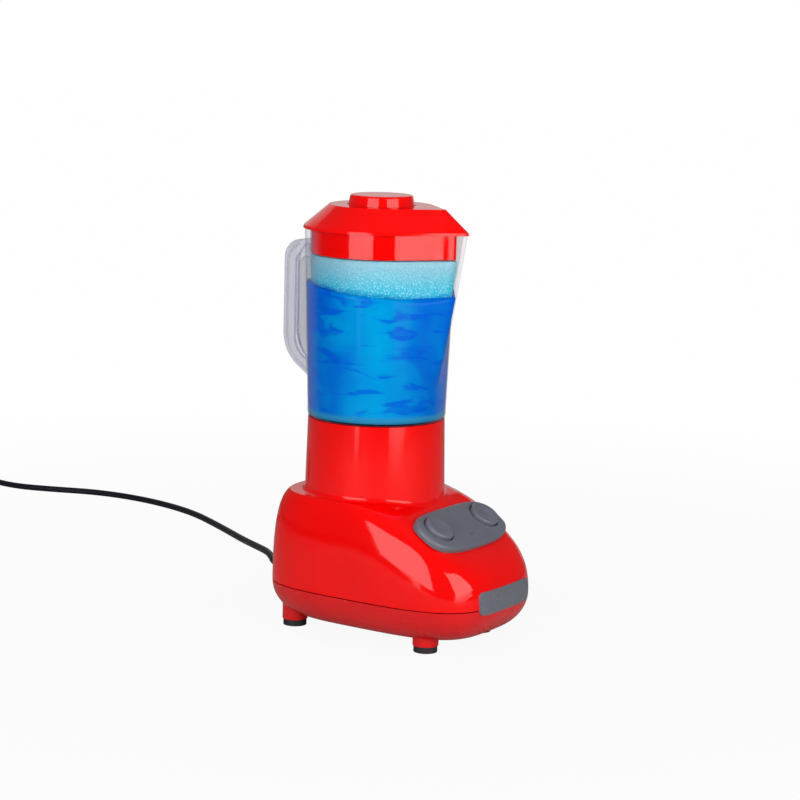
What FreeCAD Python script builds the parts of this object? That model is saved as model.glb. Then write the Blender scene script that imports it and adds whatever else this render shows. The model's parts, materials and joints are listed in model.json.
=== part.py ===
import FreeCAD, Part
import os
from FreeCAD import Vector
from math import sin, cos, tan, pi, acos, hypot, radians

# Overall levels above the table
BOTTOM_Z = 4.6
SEAM_Z = 17.0
SHOULDER_Z = 49.6
NECK_TOP_Z = 76.0
BRIM_Z = 142.2
PLATE_Z = 150.5
CAP_TOP_Z = 154.0

# Base plan at the seam, front is towards -Y
BASE_HALF_WIDTH = 31.5
BASE_FRONT = 55.8
BASE_REAR = 32.3
BASE_MID_Y = -7.5
FRONT_POWER = 3.5
FRONT_POWER_TOP = 1.9
REAR_POWER = 3.3
SHOULDER_INSET = 7.4
SHOULDER_POWER = 2.7
NOSE_INSET = 44.0
NOSE_POWER = 2.2
FLOOR_INSET = 12.0
SHELL_WALL = 2.0
SEAM_REVEAL = 0.4
TONGUE_RISE = 2.0
TONGUE_FIT = 0.1
TONGUE_THICK = 1.2
PLAN_POINTS = 48
SHELL_STEPS = 13
FLOOR_STEPS = 6
FLOOR_TURN = 0.93
SHELL_TURN = 0.89
CREST_Z = 50.2

# Nose slope and control panel
PANEL_Y = -36.16
PANEL_Z = 40.58
PANEL_TILT = 33.0
SLOPE_BLEND = 25.0
SLOPE_POWER = 24.0
SLOPE_POWER_TOP = 14.0
SLOPE_LIFT = 0.8
LIFT_LOW_Z = 43.0
LIFT_HIGH_Z = 46.0
PANEL_HALF_WIDTH = 23.4
PANEL_DOWN = 10.1
PANEL_UP = 9.4
PANEL_POWER = 2.9
PANEL_POWER_UP = 3.6
PANEL_THICK = 2.0
PANEL_ROUND = 1.3
PANEL_DEEP = 0.3
PANEL_POINTS = 32
PEG_RADIUS = 1.3
PEG_SIDE = 5.0
PEG_UP = -6.0
BUTTON_RADIUS = 5.4
BUTTON_SIDE = 14.6
BUTTON_UP = 0.7
BUTTON_RISE = 1.5
BUTTON_DISH = 0.7
BUTTON_FLANGE = 0.9
BUTTON_TRAVEL = 2.0
BUTTON_GAP = 0.4
STEM_RADIUS = 1.6
STEM_DROP = 5.6
SPRING_RADIUS = 2.6
SPRING_WIRE = 0.5
SPRING_PITCH = 1.5
BOARD_DROP = 11.0
BOARD_THICK = 1.2
BOARD_HALF_WIDTH = 18.6
BOARD_HALF_DEPTH = 6.6
BOARD_UP = 1.0
BOARD_POSTS = (-3.8, 5.8)
BOARD_POST_RADIUS = 1.9
SWITCH_SIDE = 6.4
SWITCH_HEIGHT = 4.2
PLUNGER_RADIUS = 1.4
PLUNGER_LENGTH = 2.6
SMALL_SCREW_RADIUS = 0.8
SMALL_SCREW_HEAD = 1.5
SMALL_SCREW_LENGTH = 5.0
SMALL_HEAD_HEIGHT = 0.9

# Badge across the seam at the nose
BADGE_HALF_WIDTH = 15.7
BADGE_LOW_Z = 15.2
BADGE_HIGH_Z = 23.2
BADGE_PROUD = 0.5
BADGE_CORNER = 2.0

# Neck and drive
NECK_TOP_RADIUS = 24.1
NECK_FOOT_RADIUS = 24.85
NECK_FOOT_Z = 46.0
NECK_FILLET = 1.6
NECK_SINK = 9.0
SHAFT_HOLE_RADIUS = 3.2
DECK_Z = 66.0
DECK_THICK = 2.5
MOTOR_RADIUS = 11.5
MOTOR_LENGTH = 27.0
MOTOR_WALL = 1.0
MAGNET_THICK = 2.4
ROTOR_GAP = 0.5
ROTOR_LENGTH = 15.0
END_CAP_THICK = 2.5
MOTOR_SCREW_SIDE = 7.5
MOTOR_SHAFT_RADIUS = 1.0
RUN_FIT = 0.05
DRIVE_FLANGE_RADIUS = 8.2
DRIVE_FLANGE_THICK = 1.3
DRIVE_HUB_RADIUS = 3.2
LUG_IN = 4.4
LUG_OUT = 7.6
LUG_HALF_WIDTH = 1.6
LUG_HEIGHT = 2.5
CLUTCH_GAP = 0.5
DRIVE_STAND = 1.4
MAGNET_SPLIT = 3.45
ROTOR_SLOT_DEPTH = 3.5
ROTOR_SLOT_HALF = 0.6
ROTOR_SLOTS = 3
SHAFT_TAIL = 1.2

# Jug
SEAT_GAP = 0.3
JUG_FOOT_RADIUS = 24.3
JUG_TOP_RADIUS = 26.5
JUG_TOP_Z = 141.9
JUG_WALL = 1.7
JUG_FLOOR = 3.4
JUG_FOOT_CHAMFER = 0.6
LIP_REACH = 35.4
LIP_START_Z = 90.0
JUG_POINTS = 48
SPIGOT_RADIUS = 21.5
SPIGOT_WALL = 2.0
SPIGOT_DROP = 5.0
BOSS_RADIUS = 6.0
BOSS_HEIGHT = 4.5
BUSH_RADIUS = 3.2
BLADE_SHAFT_RADIUS = 1.5
SEAL_HEIGHT = 1.2
BLADE_HUB_RADIUS = 3.8
BLADE_HUB_HEIGHT = 8.0
BLADE_REACH = 14.0
BLADE_HALF_WIDTH = 3.0
BLADE_THICK = 1.3
BLADE_PITCH = 18.0
BLADE_RISE = 16.0
BLADE_DROP = 10.0
BLADE_COUNT = 4
NUT_HEIGHT = 3.0
HANDLE_HALF_WIDTH = 4.0
HANDLE_OUT = 38.8
HANDLE_IN = 32.2
HANDLE_HIGH_Z = 136.2
HANDLE_LOW_Z = 84.0
HANDLE_ARM = 6.0
HANDLE_GROOVE = 1.4
HANDLE_RIM = 1.5
HANDLE_SLOPE = 0.69
HANDLE_LOW_ROUND = 14.0
HANDLE_TOP_ROUND = 7.0
HANDLE_IN_ROUND = 8.0
HANDLE_IN_CORNER = 3.0
HANDLE_EDGE = 0.9

# Lid and cap
LID_RADIUS = 27.1
LID_TIP = 36.0
PLATE_RADIUS = 18.2
PLATE_TIP = 26.4
LID_WALL = 1.8
BRIM_HEIGHT = 0.9
SKIRT_RADIUS = 24.2
SKIRT_TIP = 31.0
SKIRT_WALL = 1.6
SKIRT_LOW_Z = 133.6
CAP_RADIUS = 11.6
CAP_TOP_RADIUS = 10.9
CAP_PLUG_RADIUS = 9.6
CAP_PLUG_DROP = 5.0
CAP_GAP = 0.35
CAP_EDGE = 0.8
CAP_SINK = 0.6

# Feet and shell screws
FRONT_FOOT_X = 17.5
FRONT_FOOT_Y = -34.4
REAR_FOOT_X = 16.3
REAR_FOOT_Y = 22.0
POST_RADIUS = 4.5
POST_Z = 2.3
PAD_RADIUS = 4.15
PAD_PLUG_RADIUS = 2.55
PAD_PLUG = 2.2
BOSS_SPLIT_Z = 14.0
FRONT_PILLAR_Z = 25.0
PILLAR_WEB = 2.0
SCREW_RADIUS = 1.3
SCREW_HEAD_RADIUS = 2.4
SCREW_HEAD_HEIGHT = 1.5
SCREW_SEAT_Z = 9.0
SCREW_LENGTH = 13.0
PILLAR_RADIUS = 3.6

# Cord
LEAD_D = 1.2
CORD_D = 2.6
CORD_Z = 12.5
CORD_START_Y = 35.0
GROMMET_RADIUS = 3.4
GROMMET_NECK = 2.4
GROMMET_TIP_RADIUS = 2.2
GROMMET_END_Y = 38.0
GROMMET_FLANGE = 1.2
CLAMP_LENGTH = 7.0
CLAMP_Y = 8.0
CLAMP_HEIGHT = 4.0
CLAMP_HALF_WIDTH = 7.0
CLAMP_SCREW_SIDE = 4.5
CORD_X = 8.0
TABLE_Z = CORD_D / 2
CORD_POINTS = [
    (CORD_X, CORD_START_Y, CORD_Z),
    (CORD_X, 49.0, CORD_Z),
    (24.5, 63.5, 12.1),
    (40.0, 81.4, 9.2),
    (56.0, 100.2, 6.2),
    (72.0, 118.8, 3.6),
    (87.0, 136.8, TABLE_Z),
    (100.5, 161.5, TABLE_Z + 0.03),
    (107.6, 190.0, TABLE_Z),
    (106.8, 217.5, TABLE_Z + 0.03),
    (97.2, 241.0, TABLE_Z),
    (92.6, 256.0, TABLE_Z + 0.03),
    (94.4, 271.0, TABLE_Z),
    (98.6, 286.0, TABLE_Z),
]
COIL_MEAN_RADIUS = 14.6
COIL_TURNS_WIDE = 3
COIL_TURNS_HIGH = 3
COIL_STUB = 10.0
COIL_CORNER = 1.0
PLUG_LENGTH = 20.0
PLUG_WIDTH = 13.0
PLUG_HEIGHT = 7.0
PLUG_NOSE_LENGTH = 11.5
PLUG_NOSE_WIDTH = 12.0
PLUG_NOSE_HEIGHT = 4.5
PLUG_NOSE_WALL = 0.4

Z = Vector(0, 0, 1)
Y = Vector(0, 1, 0)
ORIGIN_Y = (HANDLE_OUT - BASE_FRONT - BADGE_PROUD) / 2
os.makedirs("parts", exist_ok=True)


def save(shape, name):
    shape = shape.copy()
    shape.translate(Vector(0, -ORIGIN_Y, 0))
    shape.exportStep("parts/" + name + ".step")
    print(name, round(shape.Volume, 1), shape.isValid(), len(shape.Solids))


def cyl(radius, low, high, x=0.0, y=0.0):
    return Part.makeCylinder(radius, high - low, Vector(x, y, low), Z)


def cone(low_radius, high_radius, low, high, x=0.0, y=0.0):
    return Part.makeCone(low_radius, high_radius, high - low, Vector(x, y, low), Z)


def ring(outer, inner, low, high, x=0.0, y=0.0):
    return cyl(outer, low, high, x, y).cut(cyl(inner, low - 1, high + 1, x, y))


def box(x0, x1, y0, y1, z0, z1):
    return Part.makeBox(x1 - x0, y1 - y0, z1 - z0, Vector(x0, y0, z0))


def closed_spline(points):
    curve = Part.BSplineCurve()
    curve.interpolate(Points=points, PeriodicFlag=True)
    return Part.Wire(curve.toShape())


def round_power(t, power):
    return 1 - (1 - t ** power) ** (1 / power)


# Distance from the plan centre to the sloped nose, a little proud above the panel
def slope_reach(z, offset):
    a = radians(PANEL_TILT)
    y = PANEL_Y + (z - PANEL_Z + offset / cos(a)) / tan(a)
    share = min(1.0, max(0.0, (z - LIFT_LOW_Z) / (LIFT_HIGH_Z - LIFT_LOW_Z)))
    return BASE_MID_Y - y + SLOPE_LIFT * share


# Base outline at one height, moved inwards by offset
def base_section(z, t, offset):
    if z >= SEAM_Z:
        side = SHOULDER_INSET * round_power(t, SHOULDER_POWER)
        nose = NOSE_INSET * round_power(t, NOSE_POWER)
        front_power = FRONT_POWER - (FRONT_POWER - FRONT_POWER_TOP) * t * t
    else:
        side = FLOOR_INSET * round_power(t, 2)
        nose = side
        front_power = FRONT_POWER
    half = BASE_HALF_WIDTH - side - offset
    front = BASE_FRONT + BASE_MID_Y - nose - offset
    rear = BASE_REAR - BASE_MID_Y - side - offset
    slope = slope_reach(z, offset)
    slope_power = SLOPE_POWER - (SLOPE_POWER - SLOPE_POWER_TOP) * t * t
    points = []
    for k in range(PLAN_POINTS):
        a = 2 * pi * k / PLAN_POINTS
        length = rear if sin(a) > 0 else front
        power = REAR_POWER if sin(a) > 0 else front_power
        r = (abs(cos(a)) / half) ** power + (abs(sin(a)) / length) ** power
        r = r ** (-1 / power)
        if sin(a) < 0:
            r = r * (1 + (-sin(a) * r / slope) ** slope_power) ** (-1 / slope_power)
        points.append(Vector(r * cos(a), BASE_MID_Y + r * sin(a), z))
    return closed_spline(points)


def base_form(offset):
    low = BOTTOM_Z + offset
    high = CREST_Z - offset
    wires = []
    for k in range(FLOOR_STEPS, 0, -1):
        t = sin(0.5 * pi * FLOOR_TURN * k / FLOOR_STEPS)
        wires.append(base_section(SEAM_Z - (SEAM_Z - low) * t, t, offset))
    for k in range(SHELL_STEPS + 1):
        t = sin(0.5 * pi * SHELL_TURN * k / SHELL_STEPS)
        wires.append(base_section(SEAM_Z + (high - SEAM_Z) * t, t, offset))
    return Part.makeLoft(wires, True, False)


# Region below the flat shoulder and the sloped nose
def slope_keep(offset):
    a = radians(PANEL_TILT)
    top = SHOULDER_Z - offset
    z0 = PANEL_Z - offset / cos(a)
    corner_y = PANEL_Y + (top - z0) / tan(a)
    reach = SLOPE_BLEND * tan(a / 2)
    p1 = Vector(0, corner_y + reach, top)
    p2 = Vector(0, corner_y - reach * cos(a), top - reach * sin(a))
    bend = SLOPE_BLEND * (1 / cos(a / 2) - 1)
    mid = Vector(0, corner_y + bend * sin(a / 2), top - bend * cos(a / 2))
    far = 2 * BASE_FRONT
    corners = [p2, Vector(0, -far, z0 + (-far - PANEL_Y) * tan(a)), Vector(0, -far, -far),
               Vector(0, far, -far), Vector(0, far, top), p1]
    edges = [Part.LineSegment(first, second).toShape() for first, second in zip(corners, corners[1:])]
    face = Part.Face(Part.Wire([Part.Arc(p1, mid, p2).toShape()] + edges))
    solid = face.extrude(Vector(2 * far, 0, 0))
    solid.translate(Vector(-far, 0, 0))
    return solid


# Moves a shape built about the panel centre onto the nose
def on_panel(shape):
    shape = shape.copy()
    shape.rotate(Vector(0, 0, 0), Vector(1, 0, 0), PANEL_TILT)
    shape.translate(Vector(0, PANEL_Y, PANEL_Z))
    return shape


def panel_plate(low, high):
    points = []
    for k in range(PANEL_POINTS):
        a = 2 * pi * k / PANEL_POINTS
        depth = PANEL_UP if sin(a) > 0 else PANEL_DOWN
        power = PANEL_POWER_UP if sin(a) > 0 else PANEL_POWER
        r = (abs(cos(a)) / PANEL_HALF_WIDTH) ** power + (abs(sin(a)) / depth) ** power
        r = r ** (-1 / power)
        points.append(Vector(r * cos(a), r * sin(a), low))
    return Part.Face(closed_spline(points)).extrude(Vector(0, 0, high - low))


feet = []
for side in (-1, 1):
    feet.append((side * FRONT_FOOT_X, FRONT_FOOT_Y))
    feet.append((side * REAR_FOOT_X, REAR_FOOT_Y))

middle = SHELL_WALL / 2
outer = base_form(0.0).common(slope_keep(0.0))
inner = base_form(SHELL_WALL).common(slope_keep(SHELL_WALL))
middle_form = base_form(middle).common(slope_keep(middle))
far = 3 * BASE_FRONT
above = box(-far, far, -far, far, SEAM_Z + SEAM_REVEAL / 2, far)
below = box(-far, far, -far, far, -far, SEAM_Z - SEAM_REVEAL / 2)

badge_zone = box(-BADGE_HALF_WIDTH, BADGE_HALF_WIDTH, -far, BASE_MID_Y - 20, BADGE_LOW_Z, BADGE_HIGH_Z)
corner_edges = [e for e in badge_zone.Edges if abs(e.tangentAt(e.FirstParameter).y) > 0.9]
badge_zone = badge_zone.makeFillet(BADGE_CORNER, corner_edges)
badge_back = base_form(BADGE_PROUD * 0.5)
badge = base_form(-BADGE_PROUD).cut(badge_back).common(badge_zone)
save(badge, "badge_plate")
badge_pocket = badge_zone.cut(badge_back)

# Upper shell with neck and deck
neck_inner = NECK_TOP_RADIUS - SHELL_WALL
neck = cone(NECK_FOOT_RADIUS, NECK_TOP_RADIUS, NECK_FOOT_Z, NECK_TOP_Z)
neck_low = cyl(NECK_FOOT_RADIUS, NECK_FOOT_Z - NECK_SINK, NECK_FOOT_Z)
upper_solid = outer.fuse(neck.fuse(neck_low).removeSplitter())
foot_edges = []
for edge in upper_solid.Edges:
    reach = [hypot(p.x, p.y) for p in edge.discretize(9)]
    low_enough = edge.BoundBox.ZMax < SHOULDER_Z + 1 and edge.BoundBox.ZMin > SEAM_Z
    if low_enough and max(reach) < NECK_FOOT_RADIUS + 0.3 and min(reach) > NECK_TOP_RADIUS:
        foot_edges.append(edge)
print("neck foot edges", len(foot_edges))
upper_solid = upper_solid.makeFillet(NECK_FILLET, foot_edges)
upper = upper_solid.cut(inner).cut(cyl(neck_inner, NECK_FOOT_Z - NECK_SINK - SHELL_WALL, NECK_TOP_Z + 1))
upper = upper.common(above)
deck = cyl(neck_inner + 0.5, DECK_Z, DECK_Z + DECK_THICK)
upper = upper.fuse(deck)
for x, y in feet:
    top_z = FRONT_PILLAR_Z if y < 0 else SHOULDER_Z
    wall_x = BASE_HALF_WIDTH if x > 0 else -BASE_HALF_WIDTH
    pillar = cyl(PILLAR_RADIUS, BOSS_SPLIT_Z, top_z, x, y)
    web = box(min(x, wall_x), max(x, wall_x), y - PILLAR_WEB / 2, y + PILLAR_WEB / 2,
              SEAM_Z + TONGUE_RISE + SEAT_GAP, FRONT_PILLAR_Z)
    upper = upper.fuse(pillar.fuse(web).common(middle_form))
upper = upper.cut(badge_pocket)

# Openings for the shaft, motor screws, buttons and pegs
shaft_hole = cyl(SHAFT_HOLE_RADIUS, DECK_Z - 1, DECK_Z + DECK_THICK + 1)
upper = upper.cut(shaft_hole)
for side in (-1, 1):
    x = side * MOTOR_SCREW_SIDE
    upper = upper.cut(cyl(SMALL_SCREW_RADIUS, DECK_Z - 1, DECK_Z + DECK_THICK + 1, x))
    x = side * BUTTON_SIDE
    guide = cyl(BUTTON_RADIUS + 3 * BUTTON_GAP, -3 * SHELL_WALL, 1, x, BUTTON_UP)
    upper = upper.cut(on_panel(guide))
    peg_hole = cyl(PEG_RADIUS, -2 * SHELL_WALL, 1, side * PEG_SIDE, PEG_UP)
    upper = upper.cut(on_panel(peg_hole))
for x, y in feet:
    upper = upper.cut(cyl(SCREW_RADIUS, BOSS_SPLIT_Z - 1, SCREW_SEAT_Z + SCREW_LENGTH, x, y))

# Two posts under the panel carry the circuit board
for v in BOARD_POSTS:
    post = cyl(BOARD_POST_RADIUS, -BOARD_DROP, -SHELL_WALL + 0.3, 0, v)
    post = post.cut(cyl(SMALL_SCREW_RADIUS, -BOARD_DROP - 1, -BOARD_DROP + SMALL_SCREW_LENGTH, 0, v))
    upper = upper.fuse(on_panel(post))
save(upper, "base_upper_shell")

# Lower shell with foot posts and a tongue inside the seam
lower = outer.common(below).cut(inner)
tongue_out = base_form(SHELL_WALL + TONGUE_FIT)
tongue_in = base_form(SHELL_WALL + TONGUE_FIT + TONGUE_THICK)
tongue = tongue_out.cut(tongue_in).common(box(-far, far, -far, far, BOSS_SPLIT_Z, SEAM_Z + TONGUE_RISE))
bridge = middle_form.cut(tongue_in).common(box(-far, far, -far, far, BOSS_SPLIT_Z, SEAM_Z - 1))
lower = lower.fuse(bridge).fuse(tongue)
for x, y in feet:
    lower = lower.fuse(cyl(POST_RADIUS, POST_Z, BOSS_SPLIT_Z, x, y))
for x, y in feet:
    lower = lower.cut(cyl(PAD_PLUG_RADIUS, POST_Z - 1, SCREW_SEAT_Z, x, y))
    lower = lower.cut(cyl(SCREW_RADIUS, SCREW_SEAT_Z - 1, BOSS_SPLIT_Z + 1, x, y))
lower = lower.cut(badge_pocket)
lower = lower.cut(Part.makeCylinder(GROMMET_NECK, 12, Vector(CORD_X, BASE_REAR - 9, CORD_Z), Y))
clamp_x0 = CORD_X - CLAMP_HALF_WIDTH
clamp_x1 = CORD_X + CLAMP_HALF_WIDTH
seat = box(clamp_x0, clamp_x1, CLAMP_Y, CLAMP_Y + CLAMP_LENGTH, BOTTOM_Z + middle, CORD_Z)
cord_bore = Part.makeCylinder(CORD_D / 2, 30, Vector(CORD_X, 0, CORD_Z), Y)
seat = seat.cut(cord_bore)
clamp_top = box(clamp_x0, clamp_x1, CLAMP_Y, CLAMP_Y + CLAMP_LENGTH, CORD_Z, CORD_Z + CLAMP_HEIGHT)
clamp_top = clamp_top.cut(cord_bore)
clamp_screws = []
for side in (-1, 1):
    x = CORD_X + side * CLAMP_SCREW_SIDE
    y = CLAMP_Y + CLAMP_LENGTH / 2
    top_z = CORD_Z + CLAMP_HEIGHT
    shank = cyl(SMALL_SCREW_RADIUS, top_z - SMALL_SCREW_LENGTH, top_z, x, y)
    seat = seat.cut(shank)
    clamp_top = clamp_top.cut(shank)
    clamp_screws.append(shank.fuse(cyl(SMALL_SCREW_HEAD, top_z, top_z + SMALL_HEAD_HEIGHT, x, y)))
lower = lower.fuse(seat)
save(lower, "base_lower_shell")
save(clamp_top, "cord_clamp")

# Feet pads and shell screws
pads = []
screws = []
for x, y in feet:
    pads.append(cyl(PAD_RADIUS, 0, POST_Z, x, y).fuse(cyl(PAD_PLUG_RADIUS, POST_Z, POST_Z + PAD_PLUG, x, y)))
    head = cyl(SCREW_HEAD_RADIUS, SCREW_SEAT_Z - SCREW_HEAD_HEIGHT, SCREW_SEAT_Z, x, y)
    screws.append(head.fuse(cyl(SCREW_RADIUS, SCREW_SEAT_Z, SCREW_SEAT_Z + SCREW_LENGTH, x, y)))
save(Part.makeCompound(pads), "foot_pads")
save(Part.makeCompound(screws), "shell_screws")

# Control panel, its underside following the shell
panel = panel_plate(-PANEL_DEEP, PANEL_THICK)
rim_edges = [e for e in panel.Edges if e.BoundBox.ZMin > PANEL_THICK - 0.01]
panel = on_panel(panel.makeFillet(PANEL_ROUND, rim_edges)).cut(outer)
for side in (-1, 1):
    x = side * BUTTON_SIDE
    bore = cyl(BUTTON_RADIUS + BUTTON_GAP, -1, PANEL_THICK + 1, x, BUTTON_UP)
    bore = bore.fuse(cyl(BUTTON_RADIUS + 3 * BUTTON_GAP, -1, 0, x, BUTTON_UP))
    panel = panel.cut(on_panel(bore))
    peg = cyl(PEG_RADIUS, -SHELL_WALL, PANEL_THICK / 2, side * PEG_SIDE, PEG_UP)
    panel = panel.fuse(on_panel(peg))
save(panel, "button_panel")

# Buttons, springs and switches, left button at negative X
for name, side in (("left", -1), ("right", 1)):
    x = side * BUTTON_SIDE
    top = PANEL_THICK + BUTTON_RISE
    flange_low = -SEAT_GAP - BUTTON_FLANGE
    button = cyl(BUTTON_RADIUS, flange_low, top, x, BUTTON_UP)
    crown = [e for e in button.Edges if e.BoundBox.ZMin > top - 0.01]
    button = button.makeFillet(BUTTON_RISE * 0.55, crown)
    dish_radius = BUTTON_RADIUS * 2
    dish_centre = Vector(x, BUTTON_UP, top - BUTTON_DISH + dish_radius)
    button = button.cut(Part.makeSphere(dish_radius, dish_centre))
    button = button.fuse(cyl(BUTTON_RADIUS + 2 * BUTTON_GAP, flange_low, -SEAT_GAP, x, BUTTON_UP))
    button = button.fuse(cyl(STEM_RADIUS, -STEM_DROP, flange_low, x, BUTTON_UP))
    save(on_panel(button), "button_" + name)
    switch_top = -BOARD_DROP + SWITCH_HEIGHT
    half = SWITCH_SIDE / 2
    switch = box(x - half, x + half, BUTTON_UP - half, BUTTON_UP + half, -BOARD_DROP, switch_top)
    switch = switch.cut(cyl(PLUNGER_RADIUS + BUTTON_GAP, -BOARD_DROP - 1, switch_top + 1, x, BUTTON_UP))
    save(on_panel(switch), "switch_body_" + name)
    plunger_top = -STEM_DROP - SEAT_GAP
    plunger = cyl(PLUNGER_RADIUS, plunger_top - PLUNGER_LENGTH, plunger_top, x, BUTTON_UP)
    save(on_panel(plunger), "switch_plunger_" + name)
    room = flange_low - switch_top - SPRING_WIRE
    helix = Part.makeLongHelix(SPRING_PITCH, room, SPRING_RADIUS)
    start = Vector(SPRING_RADIUS, 0, 0)
    profile = Part.Wire(Part.Circle(start, Y, SPRING_WIRE / 2).toShape())
    spring = Part.Wire(helix.Edges).makePipeShell([profile], True, True)
    spring.translate(Vector(x, BUTTON_UP, switch_top + SPRING_WIRE / 2))
    save(on_panel(spring), "button_spring_" + name)

# Circuit board and its screws
board = box(-BOARD_HALF_WIDTH, BOARD_HALF_WIDTH, BOARD_UP - BOARD_HALF_DEPTH,
            BOARD_UP + BOARD_HALF_DEPTH, -BOARD_DROP - BOARD_THICK, -BOARD_DROP)
small_screws = list(clamp_screws)
for v in BOARD_POSTS:
    low_z = -BOARD_DROP - BOARD_THICK
    shank = cyl(SMALL_SCREW_RADIUS, low_z, low_z + SMALL_SCREW_LENGTH, 0, v)
    board = board.cut(shank)
    small_screws.append(on_panel(shank.fuse(cyl(SMALL_SCREW_HEAD, low_z - SMALL_HEAD_HEIGHT, low_z, 0, v))))
save(on_panel(board), "circuit_board")

# Motor under the deck
motor_low = DECK_Z - MOTOR_LENGTH
hole = MOTOR_SHAFT_RADIUS + RUN_FIT
inside = MOTOR_RADIUS - MOTOR_WALL
can = cyl(MOTOR_RADIUS, motor_low, DECK_Z).cut(cyl(inside, motor_low - 1, DECK_Z - 2 * MOTOR_WALL))
can = can.cut(cyl(hole, motor_low, DECK_Z + 1))
deck_top = DECK_Z + DECK_THICK
for side in (-1, 1):
    x = side * MOTOR_SCREW_SIDE
    shank = cyl(SMALL_SCREW_RADIUS, deck_top - SMALL_SCREW_LENGTH, deck_top, x)
    can = can.cut(shank)
    small_screws.append(shank.fuse(cyl(SMALL_SCREW_HEAD, deck_top, deck_top + SMALL_HEAD_HEIGHT, x)))
save(can, "motor_can")
save(Part.makeCompound(small_screws), "small_screws")
save(ring(inside, hole, motor_low, motor_low + END_CAP_THICK), "motor_end_cap")
rotor_low = motor_low + (MOTOR_LENGTH - ROTOR_LENGTH) / 2
magnet = ring(inside, inside - MAGNET_THICK, rotor_low - 1, rotor_low + ROTOR_LENGTH + 1)
magnet = magnet.cut(box(-MAGNET_SPLIT, MAGNET_SPLIT, -far, far, 0, far))
save(Part.makeCompound(magnet.Solids), "motor_magnets")
rotor_radius = inside - MAGNET_THICK - ROTOR_GAP
rotor = ring(rotor_radius, MOTOR_SHAFT_RADIUS, rotor_low, rotor_low + ROTOR_LENGTH)
for k in range(ROTOR_SLOTS):
    slot = box(rotor_radius - ROTOR_SLOT_DEPTH, rotor_radius + 1, -ROTOR_SLOT_HALF, ROTOR_SLOT_HALF,
               rotor_low - 1, rotor_low + ROTOR_LENGTH + 1)
    slot.rotate(Vector(0, 0, 0), Z, 360 * k / ROTOR_SLOTS + 30)
    rotor = rotor.cut(slot)
save(rotor, "rotor_core")
drive_low = deck_top + DRIVE_STAND
drive_top = drive_low + DRIVE_FLANGE_THICK
save(cyl(MOTOR_SHAFT_RADIUS, motor_low - SHAFT_TAIL, drive_top), "motor_shaft")


def clutch(low, high, lug_low, lug_high, bore, turn):
    part = ring(DRIVE_FLANGE_RADIUS, bore, low, high)
    for side in (0, 180):
        lug = box(LUG_IN, LUG_OUT, -LUG_HALF_WIDTH, LUG_HALF_WIDTH, lug_low, lug_high)
        lug.rotate(Vector(0, 0, 0), Z, side + turn)
        part = part.fuse(lug)
    return part.removeSplitter()


lug_top = drive_top + LUG_HEIGHT
driven_low = lug_top + CLUTCH_GAP
driven_top = driven_low + DRIVE_FLANGE_THICK
save(clutch(drive_low, drive_top, drive_top, lug_top, MOTOR_SHAFT_RADIUS, 0), "drive_coupling")
save(clutch(driven_low, driven_top, driven_low - LUG_HEIGHT, driven_low, BLADE_SHAFT_RADIUS, 90),
     "driven_coupling")


# Round outline drawn out to a lip at the front
def lip_section(z, radius, tip):
    spread = acos(radius / max(tip, radius))
    points = []
    for k in range(JUG_POINTS):
        a = 2 * pi * k / JUG_POINTS
        off = abs((a - 1.5 * pi + pi) % (2 * pi) - pi)
        r = radius / cos(max(0.0, spread - off))
        points.append(Vector(r * cos(a), r * sin(a), z))
    return closed_spline(points)


def jug_form(low, high, offset):
    wires = []
    steps = [low, low + 1.0, low + 3.0, low + 6.0]
    count = 8
    for k in range(count + 1):
        steps.append(LIP_START_Z - 4 + (high - LIP_START_Z + 4) * k / count)
    for n, z in enumerate(steps):
        t = (z - NECK_TOP_Z) / (JUG_TOP_Z - NECK_TOP_Z)
        radius = JUG_FOOT_RADIUS + (JUG_TOP_RADIUS - JUG_FOOT_RADIUS) * t - offset
        s = min(1.0, max(0.0, (z - LIP_START_Z) / (JUG_TOP_Z - LIP_START_Z))) ** 0.8
        tip = radius + (LIP_REACH - JUG_TOP_RADIUS) * s
        if n == 0:
            radius = radius - JUG_FOOT_CHAMFER
            tip = radius
        wires.append(lip_section(z, radius, tip))
    return Part.makeLoft(wires, True, False)


def rounded_profile(corners):
    edges = []
    tangents = []
    count = len(corners)
    for k in range(count):
        y, z, radius = corners[k]
        here = Vector(0, y, z)
        back = Vector(0, corners[k - 1][0], corners[k - 1][1]) - here
        ahead = Vector(0, corners[(k + 1) % count][0], corners[(k + 1) % count][1]) - here
        back.normalize()
        ahead.normalize()
        if radius == 0:
            tangents.append((here, here, here))
            continue
        half = back.getAngle(ahead) / 2
        reach = radius / tan(half)
        inward = back + ahead
        inward.normalize()
        mid = here + inward * (radius / sin(half) - radius)
        tangents.append((here + back * reach, mid, here + ahead * reach))
    for k in range(count):
        first, mid, last = tangents[k]
        if first != last:
            edges.append(Part.Arc(first, mid, last).toShape())
        edges.append(Part.LineSegment(last, tangents[(k + 1) % count][0]).toShape())
    return Part.Face(Part.Wire(edges))


def handle_slab(inset, half):
    out = HANDLE_OUT - inset
    inn = HANDLE_IN + inset
    top = HANDLE_HIGH_Z - inset
    low = HANDLE_LOW_Z + inset
    root = JUG_FOOT_RADIUS - 2
    arm = HANDLE_ARM - 2 * inset
    under = low + (out - root) * HANDLE_SLOPE
    over = low + 1.2 * arm + (inn - root) * HANDLE_SLOPE
    body = rounded_profile([(root, low, 0), (out, under, HANDLE_LOW_ROUND),
                            (out, top, HANDLE_TOP_ROUND), (root, top, 0)])
    gap = rounded_profile([(root - 1, over - (inn - root + 1) * HANDLE_SLOPE, 0),
                           (inn, over, HANDLE_IN_ROUND), (inn, top - arm, HANDLE_IN_CORNER),
                           (root - 1, top - arm, 0)])
    slab = body.cut(gap).extrude(Vector(2 * half, 0, 0))
    slab.translate(Vector(-half, 0, 0))
    return slab


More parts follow.
